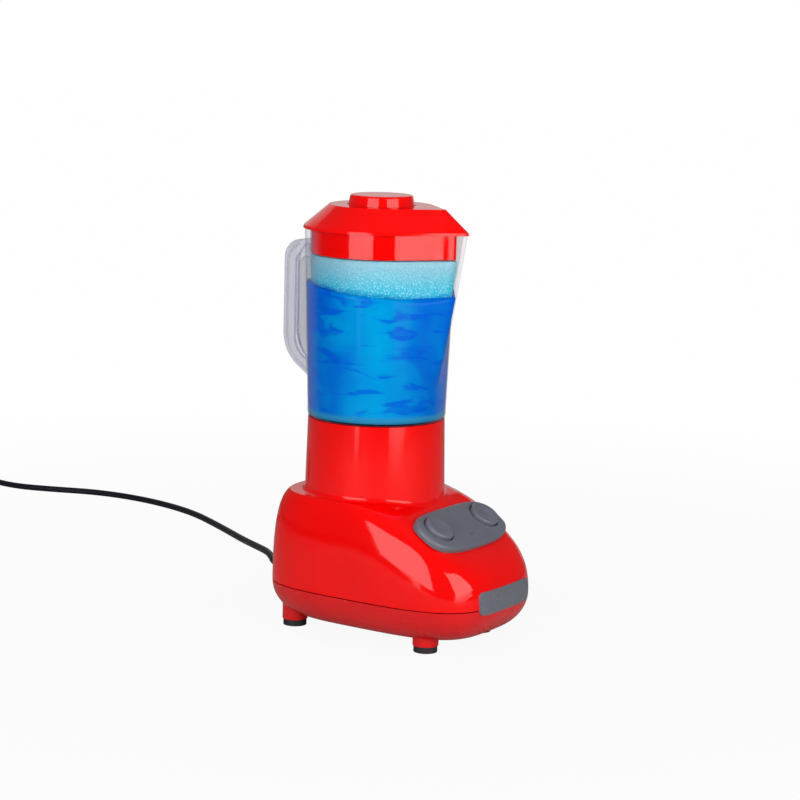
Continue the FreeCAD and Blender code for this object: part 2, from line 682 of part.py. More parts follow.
# Handle of the jug, an I-shaped bow that meets the wall face to face
jug_low = NECK_TOP_Z + SEAT_GAP
floor_top = jug_low + JUG_FLOOR
jug = jug_form(jug_low, JUG_TOP_Z, 0.0)
handle = handle_slab(0.0, HANDLE_HALF_WIDTH)
side_edges = [e for e in handle.Edges if abs(abs(e.CenterOfMass.x) - HANDLE_HALF_WIDTH) < 0.01]
side_edges = [e for e in side_edges if e.BoundBox.YMax > JUG_TOP_RADIUS + 1]
handle = handle.makeFillet(HANDLE_EDGE, side_edges)
web = HANDLE_HALF_WIDTH - HANDLE_GROOVE
keep = box(-far, far, JUG_TOP_RADIUS + 1.5, far, 0, 3 * far)
for side in (-1, 1):
    groove = handle_slab(HANDLE_RIM, HANDLE_HALF_WIDTH)
    groove.translate(Vector(side * (web + HANDLE_HALF_WIDTH), 0, 0))
    handle = handle.cut(groove.common(keep))
save(handle.cut(jug), "jug_handle")

# Cup of the jug with lip, spigot and shaft boss
hollow = jug_form(floor_top, JUG_TOP_Z + 1, JUG_WALL)
jug = jug.cut(hollow)
jug = jug.fuse(ring(SPIGOT_RADIUS, SPIGOT_RADIUS - SPIGOT_WALL, jug_low - SPIGOT_DROP, jug_low + 0.5))
jug = jug.fuse(cone(BOSS_RADIUS, BOSS_RADIUS - 1, floor_top, floor_top + BOSS_HEIGHT))
jug = jug.cut(cyl(BUSH_RADIUS, jug_low - 1, JUG_TOP_Z))
save(jug, "jug")

# Blade set in the jug floor
boss_top = floor_top + BOSS_HEIGHT
shaft_fit = BLADE_SHAFT_RADIUS + RUN_FIT
save(ring(BUSH_RADIUS, shaft_fit, jug_low, boss_top - SEAL_HEIGHT), "shaft_bush")
save(ring(BUSH_RADIUS, shaft_fit, boss_top - SEAL_HEIGHT, boss_top), "seal_ring")
hub_low = boss_top + CLUTCH_GAP
hub_top = hub_low + BLADE_HUB_HEIGHT
save(cyl(BLADE_SHAFT_RADIUS, driven_low, hub_top + NUT_HEIGHT * 0.6), "blade_shaft")
blade = ring(BLADE_HUB_RADIUS, BLADE_SHAFT_RADIUS, hub_low, hub_top)
for k in range(BLADE_COUNT):
    wing = box(0, BLADE_REACH, -BLADE_HALF_WIDTH, BLADE_HALF_WIDTH, -BLADE_THICK / 2, BLADE_THICK / 2)
    tips = [e for e in wing.Edges if abs(e.tangentAt(e.FirstParameter).z) > 0.9 and e.CenterOfMass.x > 1]
    wing = wing.makeFillet(BLADE_HALF_WIDTH * 0.9, tips)
    wing.rotate(Vector(0, 0, 0), Vector(1, 0, 0), BLADE_PITCH)
    wing.rotate(Vector(0, 0, 0), Vector(0, 1, 0), -BLADE_RISE if k % 2 else BLADE_DROP)
    wing.rotate(Vector(0, 0, 0), Z, 360 * (k + 0.5) / BLADE_COUNT)
    wing.translate(Vector(0, 0, (hub_low + hub_top) / 2))
    blade = blade.fuse(wing)
blade = blade.cut(cyl(BLADE_SHAFT_RADIUS, hub_low - 5, hub_top + 5))
save(blade, "blade")
nut = Part.makeSphere(NUT_HEIGHT, Vector(0, 0, hub_top))
nut = nut.common(cyl(NUT_HEIGHT, hub_top, hub_top + NUT_HEIGHT))
save(nut.cut(cyl(BLADE_SHAFT_RADIUS, 0, hub_top + NUT_HEIGHT * 0.6)), "blade_nut")


def lip_loft(levels):
    return Part.makeLoft([lip_section(z, r, tip) for z, r, tip in levels], True, True)


# Lid with skirt and filler hole
edge_z = BRIM_Z + BRIM_HEIGHT
lid = lip_loft([(BRIM_Z, LID_RADIUS, LID_TIP), (edge_z, LID_RADIUS - 0.3, LID_TIP - 0.3),
                (PLATE_Z, PLATE_RADIUS, PLATE_TIP)])
lid = lid.fuse(lip_loft([(SKIRT_LOW_Z, SKIRT_RADIUS, SKIRT_TIP), (edge_z, SKIRT_RADIUS, SKIRT_TIP)]))
skirt_in = SKIRT_RADIUS - SKIRT_WALL
tip_in = SKIRT_TIP - SKIRT_WALL
ceiling = PLATE_Z - LID_WALL
lid = lid.cut(lip_loft([(SKIRT_LOW_Z - 1, skirt_in, tip_in), (BRIM_Z, skirt_in, tip_in),
                        (ceiling, PLATE_RADIUS - LID_WALL * 0.5, PLATE_TIP - LID_WALL)]))
lid = lid.cut(cyl(CAP_PLUG_RADIUS + CAP_GAP, ceiling - 1, PLATE_Z + 1))
lid = lid.cut(cyl(CAP_RADIUS + CAP_GAP, PLATE_Z - CAP_SINK, PLATE_Z + 1))
save(lid, "lid")

# Filler cap
cap_low = PLATE_Z - CAP_SINK + SEAT_GAP
cap = cone(CAP_RADIUS, CAP_TOP_RADIUS, cap_low, CAP_TOP_Z)
crown = [e for e in cap.Edges if e.BoundBox.ZMin > CAP_TOP_Z - 0.01]
cap = cap.makeFillet(CAP_EDGE, crown)
cap = cap.fuse(ring(CAP_PLUG_RADIUS, CAP_PLUG_RADIUS - LID_WALL, PLATE_Z - CAP_PLUG_DROP, cap_low + 0.1))
save(cap, "filler_cap")


# Tube along straight runs joined by tangent arcs
def tube(points, d, label):
    pts = [Vector(*p) for p in points]
    edges = []
    last = pts[0]
    for k in range(1, len(pts) - 1):
        back = pts[k - 1] - pts[k]
        ahead = pts[k + 1] - pts[k]
        reach = 0.45 * min(back.Length, ahead.Length)
        back.normalize()
        ahead.normalize()
        half = back.getAngle(ahead) / 2
        radius = reach * tan(half)
        inward = back + ahead
        inward.normalize()
        first = pts[k] + back * reach
        after = pts[k] + ahead * reach
        mid = pts[k] + inward * (radius / sin(half) - radius)
        edges.append(Part.LineSegment(last, first).toShape())
        edges.append(Part.Arc(first, mid, after).toShape())
        last = after
        print(label, k, "radius", round(radius, 1))
    edges.append(Part.LineSegment(last, pts[-1]).toShape())
    path = Part.Wire(edges)
    heading = pts[1] - pts[0]
    profile = Part.Wire(Part.Circle(pts[0], heading, d / 2).toShape())
    solid = path.makePipeShell([profile], True, True)
    print(label, "length", round(path.Length, 1), "volume ratio",
          round(solid.Volume / (pi * d * d / 4 * path.Length), 4))
    return solid


save(tube(CORD_POINTS, CORD_D, "cord"), "cord_tube")
grommet = Part.makeCone(GROMMET_RADIUS, GROMMET_TIP_RADIUS, GROMMET_END_Y - BASE_REAR,
                        Vector(CORD_X, BASE_REAR, CORD_Z), Y)
grommet = grommet.fuse(Part.makeCylinder(GROMMET_NECK, 3, Vector(CORD_X, BASE_REAR - 3, CORD_Z), Y))
flange = Part.makeCylinder(GROMMET_RADIUS, GROMMET_FLANGE + 2, Vector(CORD_X, BASE_REAR - 2, CORD_Z), Y)
grommet = grommet.fuse(flange.cut(outer)).cut(cord_bore)
grommet = grommet.cut(Part.makeCylinder(CORD_D / 2, 30, Vector(CORD_X, BASE_REAR - 5, CORD_Z), Y))
save(grommet, "cord_grommet")
save(Part.makeCylinder(CORD_D / 2, CORD_START_Y - CLAMP_Y + 2, Vector(CORD_X, CLAMP_Y - 2, CORD_Z), Y),
     "cord_inner")

# Neat coil past the end of the tube, with plug beside it
last = Vector(*CORD_POINTS[-1])
heading = last - Vector(*CORD_POINTS[-2])
heading.z = 0
heading.normalize()
left = Vector(-heading.y, heading.x, 0)
outer_turn = COIL_MEAN_RADIUS + CORD_D * (COIL_TURNS_WIDE - 1) / 2
centre = last + heading * COIL_STUB + left * outer_turn
half = CORD_D * COIL_TURNS_WIDE / 2
high = CORD_D * COIL_TURNS_HIGH
coil = ring(COIL_MEAN_RADIUS + half, COIL_MEAN_RADIUS - half, 0, high)
coil = coil.makeFillet(COIL_CORNER, [e for e in coil.Edges if len(e.Vertexes) == 1])
coil.translate(Vector(centre.x, centre.y, 0))
coil = coil.fuse(Part.makeCylinder(CORD_D / 2, COIL_STUB + 2, last, heading))
plug_z = high - CORD_D / 2
tail_start = Vector(centre.x, centre.y, plug_z) + left * outer_turn
coil = coil.fuse(Part.makeCylinder(CORD_D / 2, COIL_STUB * 2, tail_start, heading * -1))
save(coil, "cord_coil")
print("coil centre", centre, "tail", tail_start, "heading", heading)
print("coil turns length", round(2 * pi * COIL_MEAN_RADIUS * COIL_TURNS_WIDE * COIL_TURNS_HIGH, 1))


def along_tail(shape):
    shape.rotate(Vector(0, 0, 0), Z, -heading.getAngle(Vector(0, 1, 0)) * 180 / pi)
    shape.translate(Vector(tail_start.x, tail_start.y, 0) - heading * (COIL_STUB * 2))
    return shape


plug = box(-PLUG_WIDTH / 2, PLUG_WIDTH / 2, -PLUG_LENGTH, 0, 0, PLUG_HEIGHT)
long_edges = [e for e in plug.Edges if abs(e.tangentAt(e.FirstParameter).y) > 0.9]
plug = plug.makeFillet(1.6, long_edges)
nose_low = (PLUG_HEIGHT - PLUG_NOSE_HEIGHT) / 2
nose = box(-PLUG_NOSE_WIDTH / 2, PLUG_NOSE_WIDTH / 2, -PLUG_LENGTH - PLUG_NOSE_LENGTH, -PLUG_LENGTH,
           nose_low, nose_low + PLUG_NOSE_HEIGHT)
w = PLUG_NOSE_WALL
nose = nose.cut(box(-PLUG_NOSE_WIDTH / 2 + w, PLUG_NOSE_WIDTH / 2 - w,
                    -PLUG_LENGTH - PLUG_NOSE_LENGTH - 1, -PLUG_LENGTH - 1,
                    nose_low + w, nose_low + PLUG_NOSE_HEIGHT - w))
tongue = box(-PLUG_NOSE_WIDTH / 2 + w, PLUG_NOSE_WIDTH / 2 - w, -PLUG_LENGTH - PLUG_NOSE_LENGTH + 0.8,
             -PLUG_LENGTH - 1, nose_low + w, nose_low + w + 1.8)
save(along_tail(plug), "plug_body")
save(along_tail(nose), "plug_shell")
save(along_tail(tongue), "plug_tongue")


def panel_point(u, v, w):
    a = radians(PANEL_TILT)
    return (u, PANEL_Y + v * cos(a) - w * sin(a), PANEL_Z + v * sin(a) + w * cos(a))


under = -BOARD_DROP - BOARD_THICK
save(tube([(CORD_X, CLAMP_Y - 2.0, CORD_Z), (CORD_X, -2.0, CORD_Z + 0.2), (7.0, -13.0, 15.0),
           (5.5, -24.0, 18.0), panel_point(5.0, -3.0, under - 6.0), panel_point(5.0, -3.0, under)],
          LEAD_D, "supply_lead"), "supply_lead")
save(tube([(-4.0, -6.0, motor_low), (-4.0, -6.0, motor_low - 9.0), (-4.2, -13.0, motor_low - 13.0),
           panel_point(-5.0, 3.0, under - 7.0), panel_point(-5.0, 3.0, under)],
          LEAD_D, "motor_lead"), "motor_lead")
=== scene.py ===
import json
import math
import bpy
import bmesh
from mathutils import Matrix, Vector


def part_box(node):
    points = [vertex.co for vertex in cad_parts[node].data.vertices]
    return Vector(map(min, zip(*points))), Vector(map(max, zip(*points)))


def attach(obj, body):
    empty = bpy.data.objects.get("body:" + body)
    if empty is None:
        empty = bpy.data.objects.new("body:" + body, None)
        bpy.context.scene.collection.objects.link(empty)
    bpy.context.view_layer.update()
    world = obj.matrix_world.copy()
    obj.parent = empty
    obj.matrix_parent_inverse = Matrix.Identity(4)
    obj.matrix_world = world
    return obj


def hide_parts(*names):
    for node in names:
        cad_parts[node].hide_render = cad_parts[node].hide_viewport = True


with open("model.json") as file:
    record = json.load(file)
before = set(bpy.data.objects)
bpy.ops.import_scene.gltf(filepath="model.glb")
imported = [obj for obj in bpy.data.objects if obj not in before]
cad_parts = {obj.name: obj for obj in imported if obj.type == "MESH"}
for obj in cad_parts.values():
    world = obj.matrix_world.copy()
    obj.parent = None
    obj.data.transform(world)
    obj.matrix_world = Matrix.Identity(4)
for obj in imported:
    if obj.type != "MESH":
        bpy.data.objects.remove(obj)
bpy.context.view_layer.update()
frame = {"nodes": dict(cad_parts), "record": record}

MM = 0.001
SHAFT_LOW, SHAFT_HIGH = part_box("blade_shaft")
AXIS_Y = (SHAFT_LOW.y + SHAFT_HIGH.y) / 2

# Camera that the photograph was taken with, distances from the jug's axis in millimetres
FRAME_PX = 800
FOCAL_PX = 2417.559
CAMERA_DISTANCE = 840.292
CAMERA_HEIGHT = 224.064
CAMERA_AZIMUTH = -56.042
CAMERA_YAW = -0.557
CAMERA_PITCH = 9.615
CAMERA_ROLL = 1.478
SENSOR = 36.0
CLIP_START = 0.01

# Cord route in millimetres from the jug's axis, then the coil it is put away in
CORD_D = 2.6
LIE = CORD_D / 2
CORD_POINTS = [
    (8.0, 35.0, 12.5),
    (8.0, 49.0, 12.5),
    (24.5, 63.5, 12.1),
    (40.0, 81.4, 9.2),
    (56.0, 100.2, 6.2),
    (72.0, 118.8, 3.6),
    (87.0, 136.8, LIE),
    (100.5, 161.5, LIE + 0.03),
    (107.6, 190.0, LIE),
    (106.8, 217.5, LIE + 0.03),
    (97.2, 241.0, LIE),
    (92.6, 256.0, LIE + 0.03),
    (94.4, 271.0, LIE),
    (98.6, 286.0, LIE),
]
COIL_STUB = 10.0
COIL_RADIUS = 14.6
COIL_STEPS = 18
SHIFT_STEPS = 2
TAIL = 20.0
TAIL_SHARES = (0.15, 0.4, 0.7, 0.85, 1.0)
TAIL_FALL = 0.6
PLUG_Z = 3.5

# Jug's shape in millimetres, the same values as the solid's
JUG_SEAT_Z = 76.0
JUG_TOP_Z = 141.9
JUG_FOOT_RADIUS = 24.3
JUG_TOP_RADIUS = 26.5
JUG_WALL = 1.7
LIP_REACH = 35.4
LIP_START_Z = 90.0
LIP_POWER = 0.8

# Contents of the jug in millimetres, where the liquid fills the clear wall as it seems to in the photograph
SECTION_POINTS = 96
LIQUID_LOW_Z = 77.0
LIQUID_Z = 121.6
LIQUID_STEPS = 30
LIQUID_INSET = 0.25 - JUG_WALL
LIQUID_EDGE = [(-180, 123.0), (-90, 123.4), (-51, 122.6), (-32, 121.7), (0, 120.7), (35, 119.7),
               (58, 120.6), (80, 122.2), (130, 122.6), (180, 123.0)]
FOAM_Z = 133.2
FOAM_FOOT = [(0.02, 0.15), (2, 0.2)]
FOAM_HEAD = [(FOAM_Z - 2.5, 0.2), (FOAM_Z - 0.3, 0.2), (FOAM_Z, 0.6), (FOAM_Z, 16.0)]

# Detail of the materials, as noise scales per metre and depths in metres
TINT_SCALE = 45.0
SMUDGE_SCALE = 120.0
WAVE_SCALE = 70.0
WAVE_DEPTH = 0.00003
GRAIN_SCALE = 2600.0
GRAIN_DEPTH = 0.000002
BRUSH_TINT_SCALE = 300.0
BRUSH_SMUDGE_SCALE = 500.0
BRUSH_SCALE = 900.0
BRUSH_DEPTH = 0.000004
CLEAR_SCALE = 60.0
CLEAR_DEPTH = 0.00004
CLEAR_SMUDGE_SCALE = 140.0
CLEAR_SMUDGE = 0.06

# Liquid's blue, with painted light paler down the middle and painted shade darker towards the sides along
# one fixed direction across the jug, paler round the foot, with swirls, in metres from the jug's axis
PAINTED_LIGHT_ACROSS = (0.559, -0.829, 0)
PAINTED_LIGHT_REACH = (-0.006, 0.026)
LIT_TO_SHADED_BLUES = [(0.0, (0.0, 0.33, 0.68)), (0.4, (0.0, 0.25, 0.66)), (0.64, (0.0, 0.16, 0.64)),
                (1.0, (0.0, 0.11, 0.64))]
SWIRL_STRETCH = (70, 70, 260)
SWIRL_TURN = (0.5, 0.9, 0)
SWIRL_DISTORTION = 0.7
SWIRL_BAND = (0.54, 0.66)
SWIRL_PULL = (-0.002, 0.016)
CLOUD_SCALE = 48.0
CLOUD_DISTORTION = 0.8
CLOUD_PULL = (-0.009, 0.007)
FOOT_HEIGHTS = (0.0785, 0.0797)
FOOT_BLUE = (0.02, 0.25, 0.5)

# Foam's bubbles from their middle outwards, with a painted glint of near white at each middle, under a haze
# that starts and ends at these heights
BUBBLE_SCALE = 1300.0
BUBBLE_DEPTH = 0.0002
BUBBLE_GLINT_BLUES = [(0.0, (0.85, 0.98, 1.0)), (0.16, (0.2, 0.66, 0.8)), (0.5, (0.02, 0.46, 0.66))]
HAZE_HEIGHTS = (0.1235, 0.1318)
HAZE_SHARE = 0.8
HAZE_BLUE = (0.28, 0.55, 0.66)

# Studio
FLOOR_SIZE = 4.0
FLOOR_GREY = (0.5, 0.5, 0.5)
FLOOR_GLOW = (0.93, 0.995)
FLOOR_GLOW_REACH = (0.08, 0.45)
WORLD_LIGHT = 0.14
WHITE = (1.0, 1.0, 1.0, 1.0)
PALE = (1.0, 0.97, 0.97)
PINKISH = (1.0, 0.93, 0.95)
WARM = (1.0, 0.95, 0.9)

# Soft boxes: angle right of the camera, metres away, width, lowest and highest point, watts and tint
TOP_BOX = ("top_box", -10, 0.05, 0.5, 0.4, 0.9, 1.2, PALE)
SIDE_BOXES = [
    ("left_box", -31, 0.5, 0.40, 0.06, 0.42, 1.7, PINKISH),
    ("left_low", -31, 0.5, 0.40, 0.0, 0.06, 0.15, PINKISH),
    ("right_box", 42, 0.5, 0.38, 0.06, 0.40, 1.7, WARM),
    ("back_box", 180, 0.9, 1.3, 0.1, 0.7, 1.1, PALE),
    ("right_low", 42, 0.5, 0.38, 0.0, 0.06, 0.15, WARM),
]


def at(x, y, z):
    return Vector((x * MM, y * MM + AXIS_Y, z * MM))


def share_between(value, low, high):
    return min(1.0, max(0.0, (value - low) / (high - low)))


def linked_object(name, data):
    made = bpy.data.objects.new(name, data)
    bpy.context.scene.collection.objects.link(made)
    return made


def camera():
    azimuth = math.radians(CAMERA_AZIMUTH)
    yaw = math.radians(CAMERA_YAW)
    pitch = math.radians(CAMERA_PITCH)
    roll = math.radians(CAMERA_ROLL)
    place = at(math.sin(azimuth) * CAMERA_DISTANCE, -math.cos(azimuth) * CAMERA_DISTANCE, CAMERA_HEIGHT)
    level = Vector((-math.sin(azimuth), math.cos(azimuth), 0.0))
    level.rotate(Matrix.Rotation(yaw, 3, "Z"))
    forward = level * math.cos(pitch) - Vector((0, 0, math.sin(pitch)))
    right = forward.cross(Vector((0, 0, 1))).normalized()
    up = right.cross(forward)
    side = right * math.cos(roll) + up * math.sin(roll)
    top = up * math.cos(roll) - right * math.sin(roll)
    data = bpy.data.cameras.new("photo_camera")
    data.sensor_width = SENSOR
    data.lens = FOCAL_PX / FRAME_PX * SENSOR
    data.clip_start = CLIP_START
    eye = linked_object("photo_camera", data)
    turn = Matrix((side, top, -forward)).transposed().to_4x4()
    eye.matrix_world = Matrix.Translation(place) @ turn
    bpy.context.scene.camera = eye


# Shader helpers
def shader_material(name, colour, roughness, **sockets):
    mat = bpy.data.materials.new(name)
    mat.use_nodes = True
    tree = mat.node_tree
    shader = tree.nodes["Principled BSDF"]
    shader.inputs["Base Color"].default_value = (*colour, 1)
    shader.inputs["Roughness"].default_value = roughness
    for socket, value in sockets.items():
        shader.inputs[socket.replace("_", " ")].default_value = value
    mat.diffuse_color = (*colour, 1)
    return mat, tree, shader


def node(tree, kind, **values):
    made = tree.nodes.new(kind)
    for name, value in values.items():
        if name in made.inputs:
            made.inputs[name].default_value = value
        else:
            setattr(made, name, value)
    return made


def object_place(tree):
    return tree.nodes.new("ShaderNodeTexCoord").outputs["Object"]


def place_vector(tree, scale=(1, 1, 1), turn=(0, 0, 0)):
    mapping = node(tree, "ShaderNodeMapping", Scale=scale, Rotation=turn)
    tree.links.new(object_place(tree), mapping.inputs["Vector"])
    return mapping.outputs["Vector"]


def height_of(tree, place):
    apart = tree.nodes.new("ShaderNodeSeparateXYZ")
    tree.links.new(place, apart.inputs[0])
    return apart.outputs["Z"]


def noise(tree, scale, detail=3.0, stretch=(1, 1, 1), turn=(0, 0, 0), distortion=0.0):
    made = node(tree, "ShaderNodeTexNoise", Scale=scale, Detail=detail, Distortion=distortion)
    tree.links.new(place_vector(tree, stretch, turn), made.inputs["Vector"])
    return made.outputs["Fac"]


def ramp(tree, source, stops):
    made = tree.nodes.new("ShaderNodeValToRGB")
    bar = made.color_ramp
    while len(bar.elements) < len(stops):
        bar.elements.new(0.5)
    for element, (spot, colour) in zip(bar.elements, stops):
        element.position = spot
        element.color = (*colour, 1)
    tree.links.new(source, made.inputs["Fac"])
    return made.outputs["Color"]


# Source's values from first to last, read as values from low to high
def spread(tree, source, low, high, first=0.3, last=0.7):
    made = tree.nodes.new("ShaderNodeMapRange")
    made.inputs["From Min"].default_value = first
    made.inputs["From Max"].default_value = last
    made.inputs["To Min"].default_value = low
    made.inputs["To Max"].default_value = high
    tree.links.new(source, made.inputs["Value"])
    return made.outputs["Result"]


def reckoned(tree, operation, first, second=None):
    made = node(tree, "ShaderNodeMath", operation=operation)
    tree.links.new(first, made.inputs[0])
    if second:
        tree.links.new(second, made.inputs[1])
    return made.outputs[0]


def blended(tree, share, first, colour):
    made = node(tree, "ShaderNodeMix", data_type="RGBA")
    tree.links.new(share, made.inputs["Factor"])
    tree.links.new(first, made.inputs["A"])
    made.inputs["B"].default_value = (*colour, 1)
    return made.outputs["Result"]


def vary(tree, shader, colour, other, scale, stretch=(1, 1, 1)):
    source = noise(tree, scale, stretch=stretch)
    tree.links.new(ramp(tree, source, [(0.35, colour), (0.65, other)]), shader.inputs["Base Color"])


def smudge(tree, shader, low, high, scale):
    source = noise(tree, scale, detail=5.0)
    tree.links.new(spread(tree, source, low, high), shader.inputs["Roughness"])


def bump(tree, shader, layers):
    last = None
    for source, depth in layers:
        made = node(tree, "ShaderNodeBump", Strength=1.0, Distance=depth)
        tree.links.new(source, made.inputs["Height"])
        if last:
            tree.links.new(last, made.inputs["Normal"])
        last = made.outputs["Normal"]
    tree.links.new(last, shader.inputs["Normal"])


# Moulded plastic or rubber, its skin a little wavy and finely grained
def moulded(name, colour, other, rough, rough_high, grain=GRAIN_DEPTH, **sockets):
    mat, tree, shader = shader_material(name, colour, rough, **sockets)
    vary(tree, shader, colour, other, TINT_SCALE)
    smudge(tree, shader, rough, rough_high, SMUDGE_SCALE)
    waves = noise(tree, WAVE_SCALE, detail=1.0)
    bump(tree, shader, [(waves, WAVE_DEPTH), (noise(tree, GRAIN_SCALE, detail=2.0), grain)])
    return mat


# Metal brushed along the axis with the smallest stretch
def brushed(name, colour, other, stretch):
    mat, tree, shader = shader_material(name, colour, 0.3, Metallic=1.0)
    vary(tree, shader, colour, other, BRUSH_TINT_SCALE, stretch)
    smudge(tree, shader, 0.2, 0.42, BRUSH_SMUDGE_SCALE)
    bump(tree, shader, [(noise(tree, BRUSH_SCALE, stretch=stretch), BRUSH_DEPTH)])
    return mat


# Moulded clear plastic, denser where it is seen edge on
def clear_plastic(name, colour, other, low, high, rough):
    mat, tree, shader = shader_material(name, colour, rough, IOR=1.49)
    vary(tree, shader, colour, other, CLEAR_SCALE)
    smudge(tree, shader, rough, rough + CLEAR_SMUDGE, CLEAR_SMUDGE_SCALE)
    bump(tree, shader, [(noise(tree, CLEAR_SCALE, detail=1.0), CLEAR_DEPTH)])
    facing = node(tree, "ShaderNodeLayerWeight", Blend=0.3)
    tree.links.new(spread(tree, facing.outputs["Facing"], low, high, 0.3, 1.0), shader.inputs["Alpha"])
    return mat


def liquid_material():
    mat, tree, shader = shader_material("blue_liquid", (0.0, 0.3, 0.8), 0.1, Specular_IOR_Level=0.05)
    shift = node(tree, "ShaderNodeVectorMath", operation="SUBTRACT")
    shift.inputs[1].default_value = (0, AXIS_Y, 0)
    tree.links.new(object_place(tree), shift.inputs[0])
    # Distance from the middle along one fixed direction: painted light paler in the middle, painted shade
    # darker towards the sides
    across = node(tree, "ShaderNodeVectorMath", operation="DOT_PRODUCT")
    across.inputs[1].default_value = PAINTED_LIGHT_ACROSS
    tree.links.new(shift.outputs[0], across.inputs[0])
    away = reckoned(tree, "ABSOLUTE", across.outputs["Value"])
    swirl = noise(tree, 1.0, stretch=SWIRL_STRETCH, turn=SWIRL_TURN, distortion=SWIRL_DISTORTION)
    cloud = noise(tree, CLOUD_SCALE, distortion=CLOUD_DISTORTION)
    total = reckoned(tree, "ADD", away, spread(tree, swirl, *SWIRL_PULL, *SWIRL_BAND))
    total = reckoned(tree, "ADD", total, spread(tree, cloud, *CLOUD_PULL))
    blues = ramp(tree, spread(tree, total, 0.0, 1.0, *PAINTED_LIGHT_REACH), LIT_TO_SHADED_BLUES)
    foot = spread(tree, height_of(tree, shift.outputs[0]), 1.0, 0.0, *FOOT_HEIGHTS)
    tree.links.new(blended(tree, foot, blues, FOOT_BLUE), shader.inputs["Base Color"])
    return mat


def foam_material():
    mat, tree, shader = shader_material("foam", (0.2, 0.75, 0.9), 0.35)
    bubbles = node(tree, "ShaderNodeTexVoronoi", Scale=BUBBLE_SCALE)
    tree.links.new(place_vector(tree), bubbles.inputs["Vector"])
    # The near white at each bubble's middle is a painted glint
    blues = ramp(tree, bubbles.outputs["Distance"], BUBBLE_GLINT_BLUES)
    haze = spread(tree, height_of(tree, object_place(tree)), 0.0, HAZE_SHARE, *HAZE_HEIGHTS)
    tree.links.new(blended(tree, haze, blues, HAZE_BLUE), shader.inputs["Base Color"])
    bump(tree, shader, [(bubbles.outputs["Distance"], -BUBBLE_DEPTH)])
    return mat


# Materials, one for each slot of the record
MATERIALS = {
    "red_shell": moulded("red_shell", (0.88, 0.0, 0.0), (0.82, 0.0, 0.0), 0.05, 0.12,
                         Specular_IOR_Level=0.38),
    # Lower shell: satin red, its base colour darker than the upper shell's as painted shade, for a part
    # that faces the floor
    "red_lower": moulded("red_lower", (0.72, 0.004, 0.006), (0.66, 0.003, 0.005), 0.16, 0.3),
    "grey_plastic": moulded("grey_plastic", (0.14, 0.155, 0.195), (0.12, 0.135, 0.17), 0.26, 0.4,
                            grain=0.000006),
    "clear_plastic": clear_plastic("clear_plastic", (0.45, 0.5, 0.66), (0.4, 0.46, 0.62), 0.0, 0.6, 0.02),
    "black_rubber": moulded("black_rubber", (0.012, 0.013, 0.018), (0.02, 0.022, 0.028), 0.5, 0.7,
                            grain=0.00001),
    "cord_black": moulded("cord_black", (0.006, 0.007, 0.014), (0.011, 0.013, 0.022), 0.4, 0.55,
                          grain=0.000008, Specular_IOR_Level=0.3),
    "steel": brushed("steel", (0.56, 0.56, 0.58), (0.46, 0.46, 0.48), (1, 1, 12)),
    "motor_steel": brushed("motor_steel", (0.66, 0.66, 0.68), (0.55, 0.55, 0.57), (1, 1, 0.1)),
    "black_plastic": moulded("black_plastic", (0.02, 0.02, 0.023), (0.032, 0.032, 0.036), 0.35, 0.5,
                             grain=0.00001),
    "white_plastic": moulded("white_plastic", (0.78, 0.78, 0.76), (0.72, 0.72, 0.7), 0.25, 0.4),
    "board_green": moulded("board_green", (0.02, 0.16, 0.06), (0.03, 0.22, 0.09), 0.3, 0.45),
    "magnet": moulded("magnet", (0.07, 0.07, 0.075), (0.1, 0.1, 0.105), 0.5, 0.7, grain=0.00002),
    "lead_red": moulded("lead_red", (0.5, 0.01, 0.01), (0.42, 0.01, 0.01), 0.35, 0.5),
}

# The solid handle is cloudier than the thin cup that it is moulded with
THICK_CLEAR = clear_plastic("thick_clear", (0.48, 0.52, 0.66), (0.41, 0.45, 0.6), 0.4, 0.8, 0.1)


def dress_nodes():
    for part in frame["record"]["subparts"]:
        held = frame["nodes"][part["node"]]
        mat = THICK_CLEAR if part["node"] == "jug_handle" else MATERIALS[part["material_slot"]]
        for holder in held.material_slots:
            holder.material = mat
        if not held.material_slots:
            held.data.materials.append(mat)


# Turns of the put-away coil in three layers of three, then the tail that leaves its top for the plug
def coil_points():
    last = Vector(CORD_POINTS[-1])
    heading = last - Vector(CORD_POINTS[-2])
    heading.z = 0
    heading.normalize()
    left = Vector((-heading.y, heading.x, 0))
    outer = COIL_RADIUS + CORD_D
    inner = COIL_RADIUS - CORD_D
    centre = last + heading * COIL_STUB + left * outer
    layers = [LIE, LIE + CORD_D, LIE + 2 * CORD_D]
    lanes = [(outer, 0), (COIL_RADIUS, 0), (inner, 0), (inner, 1), (inner, 2), (COIL_RADIUS, 2),
             (COIL_RADIUS, 1), (outer, 1), (outer, 2)]
    grow = 1 / math.cos(math.pi / COIL_STEPS)
    points = []
    for turn, (radius, layer) in enumerate(lanes):
        start = COIL_STEPS - SHIFT_STEPS * (turn + 1)
        ahead_radius, ahead_layer = lanes[min(turn + 1, len(lanes) - 1)]
        steps = COIL_STEPS if turn < len(lanes) - 1 else COIL_STEPS // 2
        for k in range(steps):
            part = share_between(k + 1, start, start + SHIFT_STEPS)
            r = (radius + (ahead_radius - radius) * part) * grow
            z = layers[layer] + (layers[ahead_layer] - layers[layer]) * part
            a = 2 * math.pi * (k + 0.5) / COIL_STEPS
            spot = centre - left * (r * math.cos(a)) + heading * (r * math.sin(a))
            points.append(Vector((spot.x, spot.y, z)))
    leave = centre + left * outer
    for share in TAIL_SHARES:
        fall = share_between(share, TAIL_SHARES[0], TAIL_SHARES[0] + TAIL_FALL)
        z = layers[-1] + (PLUG_Z - layers[-1]) * fall
        points.append(Vector((leave.x, leave.y, z)) - heading * (TAIL * share))
    return points


